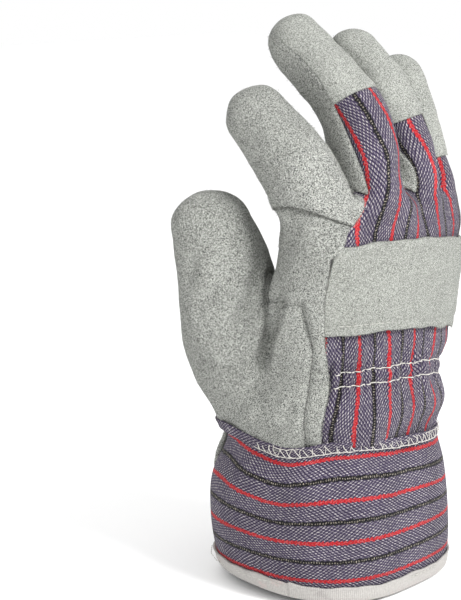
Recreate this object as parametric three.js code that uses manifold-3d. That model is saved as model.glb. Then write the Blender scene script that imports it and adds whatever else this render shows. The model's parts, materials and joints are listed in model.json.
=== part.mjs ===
// A leather palm work glove for the right hand, as filled by a relaxed hand.
//
// Millimetres, +Z up along the fingers, the back of the hand towards -Y and the thumb towards -X.
// The origin is the middle of the cuff's mouth, where the hand goes in.
//
// The glove is a shell. Tubes for the hand, the fingers and the thumb are joined into one outer and
// one inner form, and the wall between them is cut along the seams into leather and fabric panels.
// The strap, the seam tape and the palm's tongue lap over that wall on its outside.

import * as THREE from 'three';
import Module from 'manifold-3d';
import { mergeVertices } from 'three/addons/utils/BufferGeometryUtils.js';

const wasm = await Module();
wasm.setup();

// Wall thicknesses, the clearance between pieces, and the wider one under a piece that laps another.
const LEATHER = 1.6;
const FABRIC = 1.2;
const TAPE = 1.0;
const GAP = 0.35;
const LAP = 0.7;

// Heights above the cuff's mouth.
const CUFF_TOP = 66;
const SEAM_TAPE = { low: 63.5, high: 69 };
const TONGUE = { low: 46, root: 81, from: 238, to: 325 };
const STRAP = { low: 119.5, high: 159.5 };

// Slanted cuts: a height at one place x across the hand, and a slope in degrees that is positive where
// the cut is higher at the thumb's side. The strap, the two fingers' front, the index finger's own
// leather and the leather on the back below it each start at one.
const STRAP_SLANT = { at: 0, tilt: 4.5 };
const FINGER_SEAM = { low: 160, at: 8, tilt: -12, from: -18, to: 33 };
const INDEX_SEAM = { low: 174, at: -44, tilt: 22 };
const INDEX_BACK = { low: 159, at: -45, tilt: -38 };

// Seams round the hand, in degrees: 0 is the little finger's side, 90 the back, 180 the thumb's side.
const ULNAR_SEAM = -22;
const RADIAL_SEAM = 142;

// The thumb's leather runs on over the hand's side below this height.
const THUMB_WING = { from: 153, to: 205, high: 134 };

// The slit in the cuff rises from the hem below the little finger's seam. The hem is higher at the
// thumb's side.
const SLIT = { angle: ULNAR_SEAM, height: 38, reach: 13, bend: 1.2, round: 3, flare: 5, spread: 28 };
const HEM = { lift: 4, angle: 215 };
const BINDING = 6;

// A tube's rows are its sections at a height z: the centre x and y, the half width w across the hand
// and the half depth d from back to palm. gather is how far the fabric's pleats stand in and out.
const BODY = {
  across: [1, 0, 0], upright: true, sides: 34, power: 2.25, tip: 10,
  rows: [
    { z: -3, x: 4.2, y: -3.2, w: 53, d: 45.6, gather: 0 },
    { z: 0, x: 4, y: -3, w: 53.5, d: 46, gather: 0 },
    { z: 11, x: 3, y: -2.5, w: 56, d: 49, gather: 0 },
    { z: 30, x: 2, y: -2, w: 57, d: 49.5, gather: 0 },
    { z: 50, x: 1, y: -3, w: 55, d: 48, gather: 0 },
    { z: CUFF_TOP, x: 1.5, y: -5.5, w: 49, d: 42, gather: 0 },
    { z: 80, x: 1.5, y: -7.5, w: 53, d: 42.5, gather: 1.2 },
    { z: 97, x: 2, y: -12, w: 49, d: 37, gather: 1.0 },
    { z: 108, x: 2.5, y: -15, w: 50, d: 34, gather: 1.2 },
    { z: 121, x: 3.5, y: -18.5, w: 51, d: 31, gather: 0 },
    { z: 142, x: 4, y: -22.5, w: 53, d: 27, gather: 0 },
    { z: 160, x: 3.5, y: -25, w: 53, d: 24.5, gather: 0 },
    { z: 172, x: 3.5, y: -26, w: 50, d: 21.5, gather: 0 },
  ],
};
const PLEATS = { count: BODY.sides / 2, from: ULNAR_SEAM + 8, to: RADIAL_SEAM - 6 };

const INDEX = {
  across: [1, 0, 0], sides: 11, power: 2.2, tip: 14,
  rows: [
    { z: 140, x: -29, y: -24, w: 12, d: 12 },
    { z: 163, x: -34, y: -28, w: 15.8, d: 16 },
    { z: 187, x: -36, y: -20, w: 15.8, d: 16.5 },
    { z: 203, x: -38.5, y: -8, w: 15.5, d: 15.5 },
    { z: 214, x: -40.5, y: 3, w: 14.5, d: 14.5 },
  ],
};

const MIDDLE = {
  across: [1, 0, 0], sides: 12, power: 2.2, tip: 14,
  rows: [
    { z: 145, x: -2.5, y: -28, w: 13, d: 13 },
    { z: 171, x: -3, y: -33, w: 13.3, d: 14.5 },
    { z: 199, x: -6, y: -28.5, w: 13, d: 14.2 },
    { z: 225, x: -9.5, y: -14.5, w: 12.8, d: 13.5 },
    { z: 243, x: -13, y: 5, w: 12, d: 12.5 },
  ],
};

const RING = {
  across: [1, 0, 0], sides: 12, power: 2.2, tip: 13,
  rows: [
    { z: 145, x: 21.5, y: -28, w: 11.5, d: 12.5 },
    { z: 171, x: 22, y: -33, w: 11.8, d: 14 },
    { z: 199, x: 20, y: -29, w: 11.5, d: 13.2 },
    { z: 223, x: 16, y: -19, w: 11.3, d: 12.8 },
    { z: 237, x: 12, y: -7.5, w: 10.8, d: 12 },
  ],
};

const LITTLE = {
  across: [1, 0, 0], sides: 10, power: 2.2, tip: 12,
  rows: [
    { z: 142, x: 41, y: -26, w: 10.5, d: 12 },
    { z: 163, x: 42.3, y: -28.5, w: 11, d: 13 },
    { z: 187, x: 42, y: -24.5, w: 10.5, d: 12.8 },
    { z: 210, x: 40, y: -19, w: 10.5, d: 12 },
    { z: 226, x: 37.5, y: -11.5, w: 9.8, d: 11 },
  ],
};

const THUMB = {
  across: [0.7, -0.71, 0], sides: 14, power: 2.2, tip: 16,
  rows: [
    { z: 62, x: -12, y: 2, w: 27, d: 26 },
    { z: 77, x: -20, y: 6, w: 28, d: 24.5 },
    { z: 97, x: -31, y: 9.5, w: 28, d: 22.5 },
    { z: 118, x: -41, y: 12.5, w: 25.8, d: 19.5 },
    { z: 139, x: -48.5, y: 15.5, w: 22.8, d: 17 },
    { z: 156, x: -53, y: 18.5, w: 20, d: 15 },
    { z: 164, x: -55, y: 19.5, w: 18, d: 14 },
  ],
};

// Each of these fingers has fabric on its back, between two side seams, and a leather tip above it.
const BACKED_FINGERS = [
  { name: 'middle', tube: MIDDLE, from: 30, to: 145, tip: 218 },
  { name: 'ring', tube: RING, from: 30, to: 150, tip: 208 },
  { name: 'little', tube: LITTLE, from: 5, to: 150, tip: 198 },
];
const INDEX_SIDE = { tube: INDEX, from: -40, to: 48, low: 165, high: 213 };

// Creases pressed into the leather: a place, how wide it is and how deep.
const DENTS = [
  { x: -46, y: -10, z: 168, radius: 11, depth: 3 },
  { x: -57, y: 0, z: 116, radius: 12, depth: 2.5 },
  { x: -35, y: -12, z: 120, radius: 13, depth: 3 },
];

// A block of this size reaches past the whole glove.
const TOP = 300;
const SPAN = 200;

const TIP_STEPS = [0.5, 0.87];
const COLUMN_COUNT = 38;
const COLUMN_CROWDING = 1.7;

const SUEDE = { color: 0xaeb0a9, roughness: 0.95, metalness: 0 };
const SMOOTH_LEATHER = { color: 0xc0c2bb, roughness: 0.85, metalness: 0 };
const STRIPE_FABRIC = { color: 0x6f6774, roughness: 0.9, metalness: 0 };
const BINDING_TAPE = { color: 0xcdc9c4, roughness: 0.85, metalness: 0 };

const { degToRad, radToDeg, euclideanModulo, smoothstep } = THREE.MathUtils;

// A column of a table at height z, smoothed between its rows, with its slope there.
function columnAt(rows, key, z) {
  const slope = (i) => {
    const low = rows[Math.max(i - 1, 0)];
    const high = rows[Math.min(i + 1, rows.length - 1)];
    return (high[key] - low[key]) / (high.z - low.z);
  };
  const found = rows.findIndex((row) => row.z > z);
  const i = Math.max(found < 0 ? rows.length - 1 : found, 1);
  const [a, b] = [rows[i - 1], rows[i]];
  const h = b.z - a.z;
  const t = (z - a.z) / h;
  const value = a[key] * (1 - 3 * t ** 2 + 2 * t ** 3) + b[key] * (3 * t ** 2 - 2 * t ** 3)
    + slope(i - 1) * h * (t - 2 * t ** 2 + t ** 3) + slope(i) * h * (t ** 3 - t ** 2);
  const rate = ((b[key] - a[key]) * (6 * t - 6 * t ** 2)) / h
    + slope(i - 1) * (1 - 4 * t + 3 * t ** 2) + slope(i) * (3 * t ** 2 - 2 * t);
  return { value, rate };
}

// The tube's section at height z, with the directions across it and out of its back.
function sectionAt(tube, z) {
  const column = (key) => columnAt(tube.rows, key, z);
  const [x, y] = [column('x'), column('y')];
  const along = new THREE.Vector3(x.rate, y.rate, 1).normalize();
  if (tube.upright) along.set(0, 0, 1);
  const side = new THREE.Vector3(...tube.across);
  side.addScaledVector(along, -side.dot(along)).normalize();
  const back = side.clone().cross(along).normalize();
  const centre = new THREE.Vector3(x.value, y.value, z);
  const gather = tube.upright ? column('gather').value : 0;
  return { centre, along, side, back, gather, w: column('w').value, d: column('d').value, power: tube.power };
}

// A point of the section's outline, scaled about its centre.
function outlinePoint(section, angle, scale = 1) {
  const rounded = (v) => Math.sign(v) * Math.abs(v) ** (2 / section.power);
  return section.centre.clone()
    .addScaledVector(section.side, scale * section.w * rounded(Math.cos(angle)))
    .addScaledVector(section.back, scale * section.d * rounded(Math.sin(angle)));
}

function pleatAt(section, angle) {
  const turned = radToDeg(euclideanModulo(angle + Math.PI / 2, 2 * Math.PI)) - 90;
  const pleated = turned > PLEATS.from && turned < PLEATS.to;
  return pleated ? section.gather * Math.cos(PLEATS.count * angle) : 0;
}

// The wall at an angle of a section: the outline with its pleats and dents.
function wallPoint(section, angle) {
  const point = outlinePoint(section, angle);
  const inwards = section.centre.clone().sub(point).normalize();
  point.addScaledVector(inwards, -pleatAt(section, angle));
  for (const { x, y, z, radius, depth } of DENTS) {
    const away = point.distanceTo(new THREE.Vector3(x, y, z)) / radius;
    point.addScaledVector(inwards, depth * Math.exp(-(away ** 2)));
  }
  return point;
}

// Sections from low to high, grown outwards, and over the round tip where the tube ends.
function sectionsOf(tube, { low = tube.rows[0].z, high = tube.rows.at(-1).z, step = 12, grow = 0 } = {}) {
  const count = Math.max(1, Math.round((high - low) / step));
  const sections = [];
  for (let i = 0; i <= count; i++) {
    const section = sectionAt(tube, low + ((high - low) * i) / count);
    section.w += grow;
    section.d += grow;
    sections.push(section);
  }
  if (high < tube.rows.at(-1).z) return sections;
  const last = sections.at(-1);
  for (const t of TIP_STEPS) {
    const shrink = Math.sqrt(1 - t * t);
    const centre = last.centre.clone().addScaledVector(last.along, t * (tube.tip + grow));
    sections.push({ ...last, centre, w: last.w * shrink, d: last.d * shrink });
  }
  return sections;
}

// A ring's points in its own plane.
function flattened(ring) {
  const centre = ring.reduce((sum, p) => sum.add(p), new THREE.Vector3()).divideScalar(ring.length);
  const normal = new THREE.Vector3();
  ring.forEach((p, i) => {
    const next = ring[(i + 1) % ring.length];
    normal.add(p.clone().sub(centre).cross(next.clone().sub(centre)));
  });
  normal.normalize();
  const u = ring[0].clone().sub(centre);
  u.addScaledVector(normal, -u.dot(normal)).normalize();
  const v = normal.clone().cross(u);
  return ring.map((p) => new THREE.Vector2(p.clone().sub(centre).dot(u), p.clone().sub(centre).dot(v)));
}

// Joins rings of equally many points into a closed body: end to end, or round in a circle. The rings
// turn clockwise as seen from the last one.
function loft(rings, circular = false) {
  const n = rings[0].length;
  const index = [];
  const spans = circular ? rings.length : rings.length - 1;
  for (let r = 0; r < spans; r++) {
    const next = ((r + 1) % rings.length) * n;
    for (let i = 0; i < n; i++) {
      const j = (i + 1) % n;
      index.push(r * n + i, next + j, r * n + j, r * n + i, next + i, next + j);
    }
  }
  if (!circular) {
    const top = (rings.length - 1) * n;
    const first = THREE.ShapeUtils.triangulateShape(flattened(rings[0]), []);
    const last = THREE.ShapeUtils.triangulateShape(flattened(rings.at(-1)), []);
    for (const [a, b, c] of first) index.push(a, b, c);
    for (const [a, b, c] of last) index.push(top + a, top + c, top + b);
  }
  const geometry = new THREE.BufferGeometry().setFromPoints(rings.flat());
  geometry.setIndex(index);
  return geometry;
}

function solidOf(geometry) {
  const merged = mergeVertices(geometry, 1e-4);
  const mesh = new wasm.Mesh({
    numProp: 3,
    vertProperties: merged.attributes.position.array,
    triVerts: new Uint32Array(merged.index.array),
  });
  return new wasm.Manifold(mesh);
}

function geometryOf(solid) {
  const mesh = solid.getMesh();
  const geometry = new THREE.BufferGeometry();
  geometry.setAttribute('position', new THREE.BufferAttribute(mesh.vertProperties, 3));
  geometry.setIndex(new THREE.BufferAttribute(mesh.triVerts, 1));
  return geometry;
}

const union = (solids) => solids.reduce((sum, solid) => sum.add(solid));

function tubeSolid(tube, options = {}) {
  return solidOf(loft(sectionsOf(tube, options).map((section) => (
    Array.from({ length: tube.sides }, (_, i) => wallPoint(section, (2 * Math.PI * i) / tube.sides))
  ))));
}

// A sector of a tube between two angles, which reaches past the wall. grow moves its faces outwards.
function wedge({ tube, from, to, low, high, grow = 0, arc = 12 }) {
  const [a, b] = [degToRad(from), degToRad(to)];
  const outA = new THREE.Vector2(Math.sin(a), -Math.cos(a));
  const outB = new THREE.Vector2(-Math.sin(b), Math.cos(b));
  const apexShift = outA.clone().add(outB).multiplyScalar(grow / (1 + outA.dot(outB)));
  const sections = sectionsOf(tube, { low, high });
  const [first, last] = [sections[0], sections.at(-1)];
  first.centre.addScaledVector(first.along, -grow);
  last.centre.addScaledVector(last.along, high === undefined ? tube.tip / 2 : grow);
  return solidOf(loft(sections.map((section) => {
    const reach = 1 + 8 / Math.min(section.w, section.d);
    const shifted = (point, by) => point
      .addScaledVector(section.side, by.x).addScaledVector(section.back, by.y);
    const ring = [shifted(section.centre.clone(), apexShift)];
    for (let i = 0; i <= arc; i++) {
      const point = outlinePoint(section, a + ((b - a) * i) / arc, reach);
      if (i === 0) shifted(point, outA.clone().multiplyScalar(grow));
      if (i === arc) shifted(point, outB.clone().multiplyScalar(grow));
      ring.push(point);
    }
    return ring;
  })));
}

// A block between two heights, with slanted faces where a cut is slanted.
function slab({ low = 0, high = TOP, at = 0, tilt = 0, from = -SPAN, to = SPAN }) {
  const box = new THREE.BoxGeometry(to - from, 2 * SPAN, high - low);
  box.deleteAttribute('normal');
  box.deleteAttribute('uv');
  box.translate((from + to) / 2 - at, 0, (high - low) / 2);
  box.rotateY(degToRad(tilt));
  box.translate(at, 0, low);
  return solidOf(box);
}

// The largest body of a cut, without the crumbs that a cut can leave.
function mainBody(solid) {
  return solid.decompose().reduce((best, body) => (body.volume() > best.volume() ? body : best));
}

const FINGERS = [INDEX, MIDDLE, RING, LITTLE];
const TUBES = [BODY, ...FINGERS, THUMB];
const outer = new Map(TUBES.map((tube) => [tube, tubeSolid(tube)]));
const grown = new Map(TUBES.map((tube) => [tube, tubeSolid(tube, { grow: GAP })]));
const shrunkBody = tubeSolid(BODY, { grow: -GAP });
const hollow = union(TUBES.map((tube) => tubeSolid(tube, { grow: -LEATHER })));
const shell = union([...outer.values()]).subtract(hollow).intersect(slab({ low: CUFF_TOP + GAP }));

// The panels' regions, each also grown by the gap, which is what the next panels are cut back by.
function tipRegion({ tube, from, to, tip }, grow) {
  return wedge({ tube, from, to, low: tip, grow }).intersect((grow ? grown : outer).get(tube));
}

function backRegion(grow) {
  const forms = grow ? grown : outer;
  const hand = wedge({ tube: BODY, from: ULNAR_SEAM, to: RADIAL_SEAM, arc: 24, grow });
  const fingers = BACKED_FINGERS.map(({ tube, from, to, tip }) => (
    wedge({ tube, from, to, high: tip, grow }).intersect(forms.get(tube))
  ));
  const index = (grow ? outer : grown).get(INDEX).intersect(slab({ ...INDEX_BACK, low: INDEX_BACK.low - GAP + grow }));
  return union([hand.intersect(forms.get(BODY)), ...fingers]).subtract(index);
}

function thumbRegion(grow) {
  const thumb = (grow ? grown : outer).get(THUMB).subtract(grow ? shrunkBody : outer.get(BODY));
  return thumb.add(wedge({ tube: BODY, ...THUMB_WING, arc: 4, grow }).intersect(grown.get(BODY)));
}

function indexSideRegion(grow) {
  return wedge({ ...INDEX_SIDE, grow }).intersect((grow ? grown : outer).get(INDEX))
    .subtract(grow ? shrunkBody : outer.get(BODY));
}

function indexRegion(grow) {
  return (grow ? grown : outer).get(INDEX).intersect(slab({ ...INDEX_SEAM, low: INDEX_SEAM.low - grow }));
}

function twoFingerRegion(grow) {
  const forms = grow ? grown : outer;
  const { low, at, tilt, from, to } = FINGER_SEAM;
  const web = forms.get(BODY).intersect(slab({ from, to }));
  return union([forms.get(MIDDLE), forms.get(RING), web]).intersect(slab({ low: low - grow, at, tilt }));
}

// A body that follows the hand's outline from one angle to another, with one section all the way:
// each point of the section is a distance out from the outline and a height.
function lap(from, to, profile) {
  const side = 360 / BODY.sides;
  const angles = [to];
  for (let i = Math.ceil(to / side) - 1; i * side > from; i--) angles.push(i * side);
  angles.push(from);
  return solidOf(loft(angles.map((angle) => profile.map(([out, z]) => {
    const section = sectionAt(BODY, z);
    section.w += out;
    section.d += out;
    return wallPoint(section, degToRad(angle));
  }))));
}

// The palm's tongue: its lower end, outside the cuff, and its root in the palm's wall.
function tongue() {
  const outside = LAP + LEATHER;
  const root = CUFF_TOP + LAP;
  return lap(TONGUE.from, TONGUE.to, [
    [LAP, TONGUE.low], [outside, TONGUE.low], [outside, CUFF_TOP], [0.1, TONGUE.root],
    [-LEATHER / 2, TONGUE.root], [-LEATHER / 2, root], [LAP, root],
  ]);
}

// The panels, from the one that lies uppermost at its seams to the palm, which takes the rest.
function panels() {
  const order = [
    ...BACKED_FINGERS.map((finger) => [`${finger.name}_tip`, (grow) => tipRegion(finger, grow)]),
    ['back', backRegion],
    ['thumb', thumbRegion],
    ['index_side', indexSideRegion],
    ['index_front', indexRegion],
    ['two_finger_front', twoFingerRegion],
  ];
  const solids = {};
  let rest = shell;
  for (const [name, region] of order) {
    solids[name] = mainBody(rest.intersect(region(0)));
    rest = rest.subtract(region(GAP));
  }
  return { ...solids, palm: mainBody(rest.add(tongue().subtract(thumbRegion(GAP)))) };
}

// The strap across the knuckles, on the outside of the back.
function strap() {
  const band = tubeSolid(BODY, { grow: GAP + LEATHER }).subtract(grown.get(BODY));
  return band.intersect(slab({ ...STRAP, ...STRAP_SLANT }))
    .intersect(wedge({ tube: BODY, from: ULNAR_SEAM, to: RADIAL_SEAM, arc: 24 }))
    .subtract(union([THUMB, ...FINGERS].map((tube) => grown.get(tube))));
}

// The tape over the joint of the cuff and the hand, all round but for the palm's tongue.
function seamTape() {
  const { low, high } = SEAM_TAPE;
  const [from, to] = [TONGUE.to - 360 + 2, TONGUE.from - 2];
  const profile = [[LAP, low], [LAP + TAPE, low], [LAP + TAPE, high], [LAP, high]];
  return lap(from, to, profile).subtract(grown.get(THUMB));
}

// A column of the cuff: away is its distance from the slit, round the cuff.
const CUFF_RADIUS = (BODY.rows[1].w + BODY.rows[1].d) / 2;
const cuffColumn = (away) => ({ away, angle: degToRad(SLIT.angle) + away / CUFF_RADIUS });

// The columns round the cuff, closer together at the slit.
const CUFF_COLUMNS = Array.from({ length: COLUMN_COUNT }, (_, i) => {
  const u = 1 - (2 * i) / COLUMN_COUNT;
  return cuffColumn(Math.PI * CUFF_RADIUS * Math.sign(u) * Math.abs(u) ** COLUMN_CROWDING);
});

// The height of the cuff's edge: level but for the lift at the thumb's side and the slit's point.
function hemHeight({ angle, away }) {
  const lift = HEM.lift * (0.5 + 0.5 * Math.cos(angle - degToRad(HEM.angle))) ** 2;
  const rounded = Math.hypot(away, SLIT.round) - SLIT.round;
  return lift + SLIT.height * Math.exp(-((rounded / SLIT.reach) ** SLIT.bend));
}

// A point of the cuff, out from its outer face. The flaps beside the slit stand open a little.
function cuffPoint({ angle, away }, z, out) {
  const section = sectionAt(BODY, z);
  const flare = SLIT.flare * Math.exp(-((away / SLIT.spread) ** 2)) * (1 - smoothstep(z, 0, SLIT.height));
  section.w += out + flare;
  section.d += out + flare;
  return outlinePoint(section, angle);
}

// The cuff's wall, as closed sections round it, each up the outside and down the inside.
function cuffWall() {
  return loft(CUFF_COLUMNS.map((column) => {
    const foot = hemHeight(column);
    const low = foot + BINDING + 1;
    const heights = [foot, ...[0, 0.35, 0.65, 0.85, 1].map((t) => low + t * (CUFF_TOP - low))];
    const outside = heights.map((z) => cuffPoint(column, z, 0));
    const inside = heights.map((z) => cuffPoint(column, z, -FABRIC)).reverse();
    return [...outside, ...inside];
  }), true);
}

// The tape folded over the cuff's edge, square to the edge wherever it runs. Its section is a list of
// distances out from the cuff's outer face and up from its edge.
function bindingLoop() {
  const outside = LAP + TAPE;
  const inside = -FABRIC - LAP;
  const section = [
    [outside, -LAP - TAPE], [outside, BINDING], [LAP, BINDING], [LAP, -LAP],
    [inside, -LAP], [inside, BINDING], [inside - TAPE, BINDING], [inside - TAPE, -LAP - TAPE],
  ];
  return loft(CUFF_COLUMNS.map((column) => {
    const slope = hemHeight(cuffColumn(column.away + 0.5)) - hemHeight(cuffColumn(column.away - 0.5));
    const foot = hemHeight(column);
    const length = Math.hypot(1, slope);
    return section.map(([out, up]) => (
      cuffPoint(cuffColumn(column.away - (up * slope) / length), foot + up / length, out)
    ));
  }), true);
}

const glove = new THREE.Group();

function addMesh(name, geometry, finish) {
  const mesh = new THREE.Mesh(geometry, new THREE.MeshStandardMaterial(finish));
  mesh.name = name;
  glove.add(mesh);
}

const panel = panels();
addMesh('palm', geometryOf(panel.palm), SUEDE);
addMesh('thumb', geometryOf(panel.thumb), SUEDE);
addMesh('two_finger_front', geometryOf(panel.two_finger_front), SUEDE);
addMesh('index_front', geometryOf(panel.index_front), SUEDE);
addMesh('index_side', geometryOf(panel.index_side), SUEDE);
addMesh('back', geometryOf(panel.back), STRIPE_FABRIC);
for (const { name } of BACKED_FINGERS) {
  addMesh(`${name}_tip`, geometryOf(panel[`${name}_tip`]), SMOOTH_LEATHER);
}
addMesh('knuckle_strap', geometryOf(mainBody(strap())), SMOOTH_LEATHER);
addMesh('cuff_seam', geometryOf(mainBody(seamTape())), STRIPE_FABRIC);
addMesh('cuff', cuffWall(), STRIPE_FABRIC);
addMesh('cuff_binding', bindingLoop(), BINDING_TAPE);

export default glove;
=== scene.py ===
# A leather palm work glove for the right hand, standing upright as if a relaxed hand filled it.
#
# The shapes are worked out in millimetres, in the part's frame, and turned into metres when a mesh is made.
# The hand's surface is the smooth union of six tubes. It is meshed once, cut along the seams into the
# glove's panels, and each panel is then pressed, gathered and thickened. The strap, the tape, the cuff
# and its binding are grids laid on the same surface, and every stitch is a short thread of its own.

import json
import math

import bpy
import numpy as np
from mathutils import Matrix, Vector
from mathutils.bvhtree import BVHTree
from mathutils.kdtree import KDTree

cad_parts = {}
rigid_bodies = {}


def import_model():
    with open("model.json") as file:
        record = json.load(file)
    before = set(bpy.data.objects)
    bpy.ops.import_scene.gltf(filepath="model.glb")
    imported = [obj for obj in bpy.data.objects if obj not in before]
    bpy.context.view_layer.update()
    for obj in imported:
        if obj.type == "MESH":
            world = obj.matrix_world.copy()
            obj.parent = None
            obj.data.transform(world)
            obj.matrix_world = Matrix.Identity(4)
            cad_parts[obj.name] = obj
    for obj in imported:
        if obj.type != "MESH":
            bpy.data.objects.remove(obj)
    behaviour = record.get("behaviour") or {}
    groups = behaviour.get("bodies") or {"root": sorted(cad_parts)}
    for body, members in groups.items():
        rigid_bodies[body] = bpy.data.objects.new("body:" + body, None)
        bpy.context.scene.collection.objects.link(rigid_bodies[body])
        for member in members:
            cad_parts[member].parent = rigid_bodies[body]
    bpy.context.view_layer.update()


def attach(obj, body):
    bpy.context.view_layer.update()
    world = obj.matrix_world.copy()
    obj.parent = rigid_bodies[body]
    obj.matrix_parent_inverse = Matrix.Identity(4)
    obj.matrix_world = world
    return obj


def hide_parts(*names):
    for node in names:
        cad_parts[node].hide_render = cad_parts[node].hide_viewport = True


for start in list(bpy.data.objects):
    bpy.data.objects.remove(start)
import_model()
rng = np.random.default_rng(7)

VOXEL = 1.15
STEP = 1.1

# Sizes in millimetres, and degrees round the body from the little finger's side.
LEATHER, FABRIC, TAPE = 1.6, 1.2, 1.0
TONGUE_LOW, TONGUE_ROOT, TONGUE_FROM, TONGUE_TO = 46.0, 82.0, 238.0, 325.0
ULNAR_SEAM = -22.0
BINDING = 6.0
STRIPE = 8.7


def tube(tip, *rows, across=(1, 0, 0), power=2.2):
    """A tube through sections: a z, x and y, and half the width and depth. Its end's cap is tip high."""
    return dict(tip=tip, rows=np.array(rows, float), across=np.array(across, float), power=power)


TUBES = {
    "body": tube(
        10, (-3, 4.2, -3.2, 53, 45.6), (0, 4, -3, 53.5, 46), (11, 3, -2.5, 56, 49), (30, 2, -2, 57, 49.5),
        (50, 1, -3, 55, 48), (66, 1.5, -5.5, 49, 42), (80, 1.5, -7.5, 53, 42.5), (97, 2, -12, 49, 37),
        (108, 2.5, -15, 50, 34), (121, 3.5, -18.5, 51, 31), (142, 4, -22.5, 53, 27),
        (160, 3.5, -25, 53, 24.5), (172, 3.5, -26, 50, 21.5), power=2.25),
    "index": tube(
        14, (140, -29, -24, 12, 12), (163, -34, -28, 15.8, 16), (187, -36, -20, 15.8, 16.5),
        (203, -38.5, -8, 15.5, 15.5), (214, -40.5, 3, 14.5, 14.5)),
    "middle": tube(
        14, (145, -2.5, -28, 13, 13), (171, -3, -33, 13.3, 14.5), (199, -6, -28.5, 13, 14.2),
        (225, -9.5, -14.5, 12.8, 13.5), (243, -13, 5, 12, 12.5)),
    "ring": tube(
        13, (145, 21.5, -28, 11.5, 12.5), (171, 22, -33, 11.8, 14), (199, 20, -29, 11.5, 13.2),
        (223, 16, -19, 11.3, 12.8), (237, 12, -7.5, 10.8, 12)),
    "little": tube(
        12, (142, 41, -26, 10.5, 12), (163, 42.3, -28.5, 11, 13), (187, 42, -24.5, 10.5, 12.8),
        (210, 40, -19, 10.5, 12), (226, 37.5, -11.5, 9.8, 11)),
    "thumb": tube(
        16, (62, -12, 2, 27, 26), (77, -20, 6, 28, 24.5), (97, -31, 9.5, 28, 22.5),
        (118, -41, 12.5, 25.8, 19.5), (139, -48.5, 15.5, 22.8, 17), (156, -53, 18.5, 20, 15),
        (164, -55, 19.5, 18, 14), across=(0.7, -0.71, 0)),
}
BODY = TUBES["body"]
FINGERS = ("index", "middle", "ring", "little")
FAR = 40.0


# Small tools.
def unit(v):
    return v / np.maximum(np.linalg.norm(v, axis=-1, keepdims=True), 1e-9)


def signed(x, power):
    """A power of x that keeps its sign."""
    return np.sign(x) * np.abs(x)**power


def bell(x, middle, width):
    """1 at the middle, less to both sides and almost 0 at twice the width."""
    return np.exp(-((x - middle) / width)**2)


def ramp(x, a, b):
    """0 up to a, 1 from b on, and smooth between."""
    t = np.clip((x - a) / (b - a), 0, 1)
    return t * t * (3 - 2 * t)


def lengths(line):
    """How far along a line each of its points lies."""
    return np.concatenate([[0], np.cumsum(np.linalg.norm(np.diff(line, axis=0), axis=1))])


def sampled(s, run, values):
    """The columns of values, given at the places run, at the places s."""
    return np.stack([np.interp(s, run, values[:, k]) for k in range(values.shape[1])], -1)


def even(line, *others, step=0.8):
    """A line's points made even along it, and other values at the same places."""
    run = lengths(line)
    s = np.linspace(0, run[-1], max(3, int(run[-1] / step)))
    return [sampled(s, run, v) for v in (line, *others)]


# The tubes as distance functions.
def column(tube, k, z):
    """Column k of a tube's rows at the heights z, and its rate, smoothed between the rows."""
    rows = tube["rows"]
    zs, vals = rows[:, 0], rows[:, k]
    n = len(zs)
    low, high = np.maximum(np.arange(n) - 1, 0), np.minimum(np.arange(n) + 1, n - 1)
    slope = (vals[high] - vals[low]) / (zs[high] - zs[low])
    z = np.clip(z, zs[0], zs[-1])
    i = np.clip(np.searchsorted(zs, z, side="right"), 1, n - 1)
    h = zs[i] - zs[i - 1]
    t = (z - zs[i - 1]) / h
    a, b, sa, sb = vals[i - 1], vals[i], slope[i - 1], slope[i]
    value = (a * (1 - 3 * t**2 + 2 * t**3) + b * (3 * t**2 - 2 * t**3)
             + sa * h * (t - 2 * t**2 + t**3) + sb * h * (t**3 - t**2))
    rate = (b - a) * (6 * t - 6 * t**2) / h + sa * (1 - 4 * t + 3 * t**2) + sb * (3 * t**2 - 2 * t)
    return value, rate


def section(tube, z):
    """Centre, along, side, back, w and d of a tube's sections at the heights z. The body's are level."""
    z = np.asarray(z, float)
    (x, dx), (y, dy), (w, _), (d, _) = (column(tube, k, z) for k in (1, 2, 3, 4))
    centre = np.stack([x, y, np.clip(z, tube["rows"][0, 0], tube["rows"][-1, 0])], -1)
    lean = 0 if tube is BODY else 1
    along = unit(np.stack([lean * dx, lean * dy, np.ones_like(dx)], -1))
    side = unit(tube["across"] - (tube["across"] * along).sum(-1, keepdims=True) * along)
    return centre, along, side, np.cross(side, along), w, d


for name in (*FINGERS, "thumb"):
    rows = TUBES[name]["rows"]
    zs = np.linspace(rows[0, 0], rows[-1, 0], 90)
    TUBES[name]["line"] = (zs, section(TUBES[name], zs)[0])


def local(tube, p):
    """(u, v, s, z, w, d): each point's place across and out of the back of its section, how far it is
    past the last section, the height of the section, and the section's half sizes."""
    if tube is BODY:
        z = p[:, 2]
        c, _, side, back, w, d = section(tube, z)
        s = np.maximum(z - tube["rows"][-1, 0], 0)
    else:
        zs, line = tube["line"]
        z, batch = np.empty(len(p)), 20000
        for i in range(0, len(p), batch):
            q = p[i:i + batch]
            d2 = (q**2).sum(1)[:, None] - 2 * q @ line.T + (line**2).sum(1)[None]
            z[i:i + batch] = zs[d2.argmin(1)]
        for _ in range(2):
            c, along, side, back, w, d = section(tube, z)
            z = np.clip(z + ((p - c) * along).sum(1) * along[:, 2], zs[0], zs[-1])
        c, along, side, back, w, d = section(tube, z)
        s = np.where(z >= zs[-1] - 1e-6, np.maximum(((p - c) * along).sum(1), 0), 0)
    r = p - c
    return (r * side).sum(1), (r * back).sum(1), s, z, w, d


def tube_distance(tube, p):
    u, v, s, _, w, d = local(tube, p)
    n = tube["power"]
    q = ((np.abs(u) / w)**n + (np.abs(v) / d)**n)**(1 / n)
    q = np.sqrt(q**2 + (s / tube["tip"])**2)
    r = np.sqrt(u**2 + v**2 + s**2)
    return r - r / np.maximum(q, 1e-6)


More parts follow.
